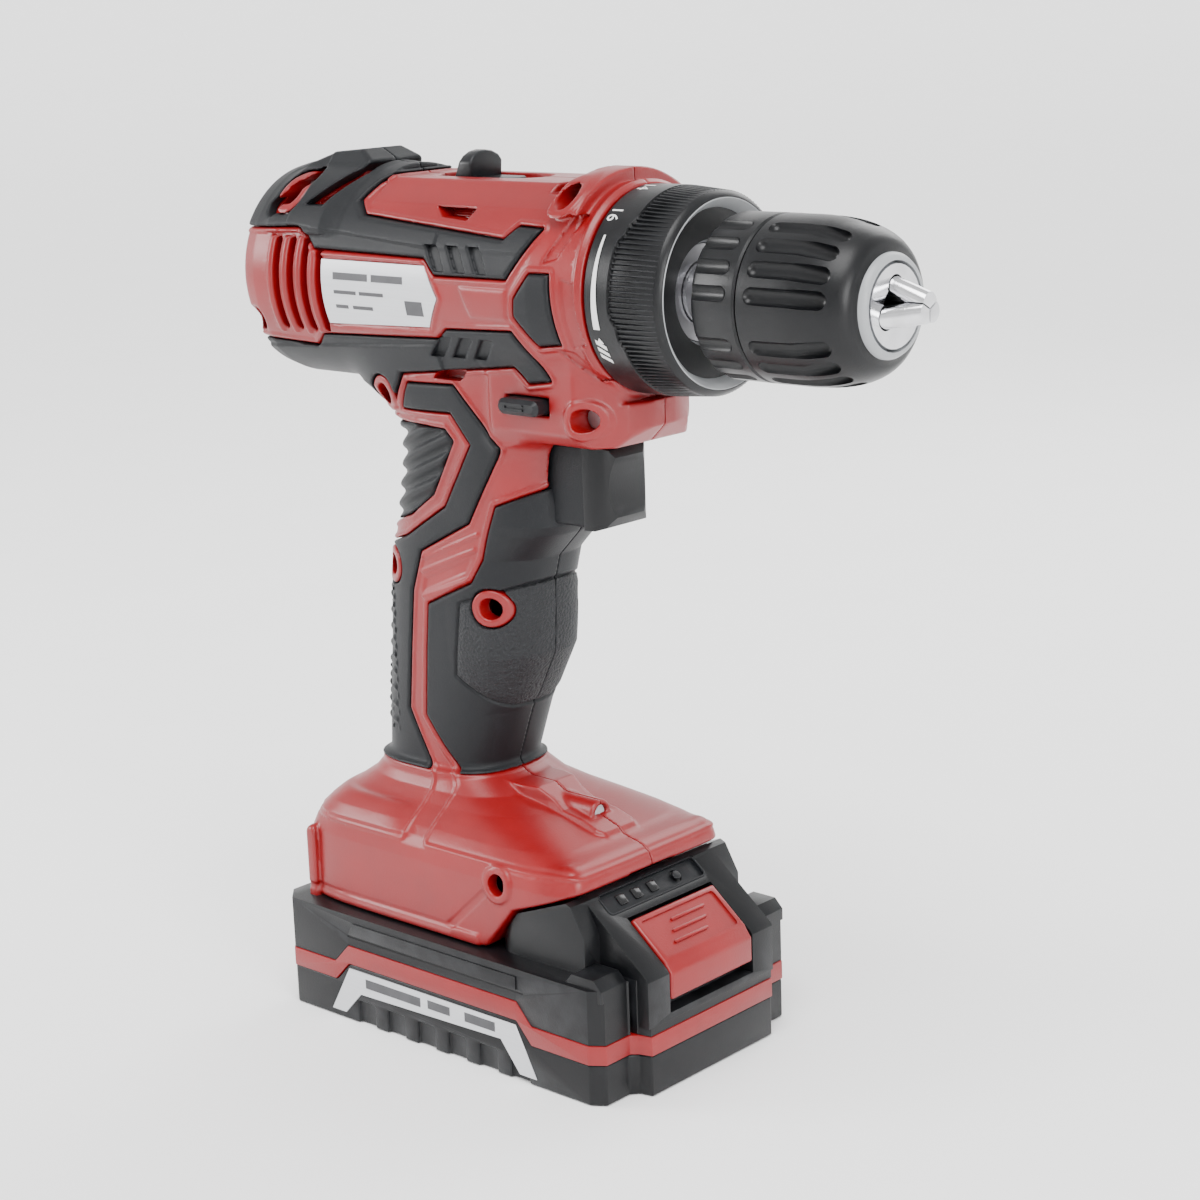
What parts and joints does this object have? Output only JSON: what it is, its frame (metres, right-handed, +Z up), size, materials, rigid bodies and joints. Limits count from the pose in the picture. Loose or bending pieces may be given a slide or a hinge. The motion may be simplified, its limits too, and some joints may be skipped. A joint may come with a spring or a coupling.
{
  "type": "cordless drill driver",
  "caption": "Cordless drill driver with a keyless chuck, torque ring, speed selector, trigger, soft grip pads and a slide-on battery pack.",
  "frame": {"origin": "on the flat underside of the battery pack, below the middle of its length and width", "axes": "+X forwards along the spindle, towards the chuck; +Y to the user's left; +Z up, away from the battery"},
  "size_m": [0.2242, 0.0826, 0.2538],
  "materials": {
    "red_plastic": "satin, fine moulded grain",
    "soft_grip": "matte soft touch",
    "black_plastic": "satin",
    "plate": "satin printed plate",
    "screw_steel": "blackened",
    "lens": "clear",
    "steel": "machined",
    "jaw_chrome": "bright, fine turned lines",
    "rotor_metal": "laminations and copper windings",
    "case_metal": "die cast",
    "terminal_brass": "plated",
    "cell_wrap": "shrink-wrapped cells",
    "lead_red": "PVC",
    "lead_black": "PVC"
  },
  "bodies": {
    "tool": {"housing_right": "red_plastic", "housing_left": "red_plastic", "pad_top_right": "soft_grip", "pad_top_left": "soft_grip", "pad_under_right": "soft_grip", "pad_under_left": "soft_grip", "pad_hex_right": "soft_grip", "pad_hex_left": "soft_grip", "pad_thumb_right": "soft_grip", "pad_thumb_left": "soft_grip", "pad_heel_right": "soft_grip", "pad_heel_left": "soft_grip", "pad_palm_right": "soft_grip", "pad_palm_left": "soft_grip", "rating_plate_right": "plate", "rating_plate_left": "plate", "screw_rear_top": "screw_steel", "screw_front_top": "screw_steel", "screw_rear_low": "screw_steel", "screw_throat": "screw_steel", "screw_nose": "screw_steel", "screw_grip_back": "screw_steel", "screw_grip_mid": "screw_steel", "screw_foot": "screw_steel", "work_light": "lens", "motor_can": "steel", "gear_case": "case_metal", "spindle_bearing": "steel", "switch_module": "black_plastic", "trigger_spring": "steel", "terminal_block": "terminal_brass", "lead_positive": "lead_red", "lead_negative": "lead_black"},
    "rotor": {"motor_rotor": "rotor_metal"},
    "spindle": {"spindle": "steel", "chuck_body": "jaw_chrome", "chuck_rear_sleeve": "black_plastic", "chuck_screw": "steel"},
    "planet_a": {"planet_1": "steel"},
    "planet_b": {"planet_2": "steel"},
    "planet_c": {"planet_3": "steel"},
    "chuck_sleeve": {"chuck_front_sleeve": "black_plastic"},
    "jaw_a": {"jaw_1": "jaw_chrome"},
    "jaw_b": {"jaw_2": "jaw_chrome"},
    "jaw_c": {"jaw_3": "jaw_chrome"},
    "torque_ring": {"torque_ring": "black_plastic"},
    "shift": {"speed_selector": "black_plastic", "ring_gear": "steel"},
    "trigger": {"trigger": "black_plastic"},
    "direction_lever": {"direction_lever": "black_plastic"},
    "pack": {"pack_lower_case": "black_plastic", "pack_upper_case": "black_plastic", "pack_band": "red_plastic", "pack_plate_right": "plate", "pack_plate_left": "plate", "cell_pack": "cell_wrap", "contact_block": "black_plastic", "gauge_panel": "black_plastic"},
    "release": {"release_button": "red_plastic"},
    "gauge_key": {"gauge_button": "black_plastic"}
  },
  "joints": [
    {"name": "spindle_spin", "type": "hinge", "parent": "tool", "child": "spindle", "pos_m": [0.05, 0, 0.218], "axis": [1, 0, 0], "continuous": true},
    {"name": "rotor_spin", "type": "hinge", "parent": "tool", "child": "rotor", "pos_m": [-0.04, 0, 0.218], "axis": [1, 0, 0], "continuous": true},
    {"name": "planet_1_spin", "type": "hinge", "parent": "spindle", "child": "planet_a", "pos_m": [0.002, 0, 0.23015], "axis": [1, 0, 0], "continuous": true},
    {"name": "planet_2_spin", "type": "hinge", "parent": "spindle", "child": "planet_b", "pos_m": [0.002, -0.01052, 0.21193], "axis": [1, 0, 0], "continuous": true},
    {"name": "planet_3_spin", "type": "hinge", "parent": "spindle", "child": "planet_c", "pos_m": [0.002, 0.01052, 0.21193], "axis": [1, 0, 0], "continuous": true},
    {"name": "chuck_sleeve_turn", "type": "hinge", "parent": "spindle", "child": "chuck_sleeve", "pos_m": [0.11, 0, 0.218], "axis": [1, 0, 0], "range_deg": [0, 3240]},
    {"name": "jaw_1_slide", "type": "slide", "parent": "spindle", "child": "jaw_a", "axis": [-0.9511, 0, 0.309], "range_m": [0, 0.0163]},
    {"name": "jaw_2_slide", "type": "slide", "parent": "spindle", "child": "jaw_b", "axis": [-0.9511, -0.2676, -0.1545], "range_m": [0, 0.0163]},
    {"name": "jaw_3_slide", "type": "slide", "parent": "spindle", "child": "jaw_c", "axis": [-0.9511, 0.2676, -0.1545], "range_m": [0, 0.0163]},
    {"name": "torque_ring_turn", "type": "hinge", "parent": "tool", "child": "torque_ring", "pos_m": [0.065, 0, 0.218], "axis": [1, 0, 0], "range_deg": [-110, 190]},
    {"name": "speed_shift", "type": "slide", "parent": "tool", "child": "shift", "axis": [-1, 0, 0], "range_m": [0, 0.007]},
    {"name": "trigger_pull", "type": "slide", "parent": "tool", "child": "trigger", "axis": [-1, 0, 0], "range_m": [0, 0.007], "stiffness_N_per_m": 600, "springref_m": -0.004, "deforming": ["trigger_spring"]},
    {"name": "direction_lever_slide", "type": "slide", "parent": "tool", "child": "direction_lever", "axis": [0, 1, 0], "range_m": [0, 0.004]},
    {"name": "pack_slide", "type": "slide", "parent": "tool", "child": "pack", "axis": [1, 0, 0], "range_m": [0, 0.09]},
    {"name": "release_press", "type": "slide", "parent": "pack", "child": "release", "axis": [-0.6337, 0, -0.7736], "range_m": [0, 0.004], "stiffness_N_per_m": 800, "springref_m": -0.003},
    {"name": "gauge_button_press", "type": "slide", "parent": "pack", "child": "gauge_key", "axis": [-0.6337, 0, -0.7736], "range_m": [0, 0.0005], "stiffness_N_per_m": 500, "springref_m": -0.001}
  ],
  "couplings": [
    {"joint": "rotor_spin", "follows": "spindle_spin", "ratio": 4.5},
    {"joint": "planet_1_spin", "follows": "spindle_spin", "ratio": -2.8},
    {"joint": "planet_2_spin", "follows": "spindle_spin", "ratio": -2.8},
    {"joint": "planet_3_spin", "follows": "spindle_spin", "ratio": -2.8},
    {"joint": "jaw_1_slide", "follows": "chuck_sleeve_turn", "m_per_rad": 0.00028648},
    {"joint": "jaw_2_slide", "follows": "chuck_sleeve_turn", "m_per_rad": 0.00028648},
    {"joint": "jaw_3_slide", "follows": "chuck_sleeve_turn", "m_per_rad": 0.00028648}
  ]
}
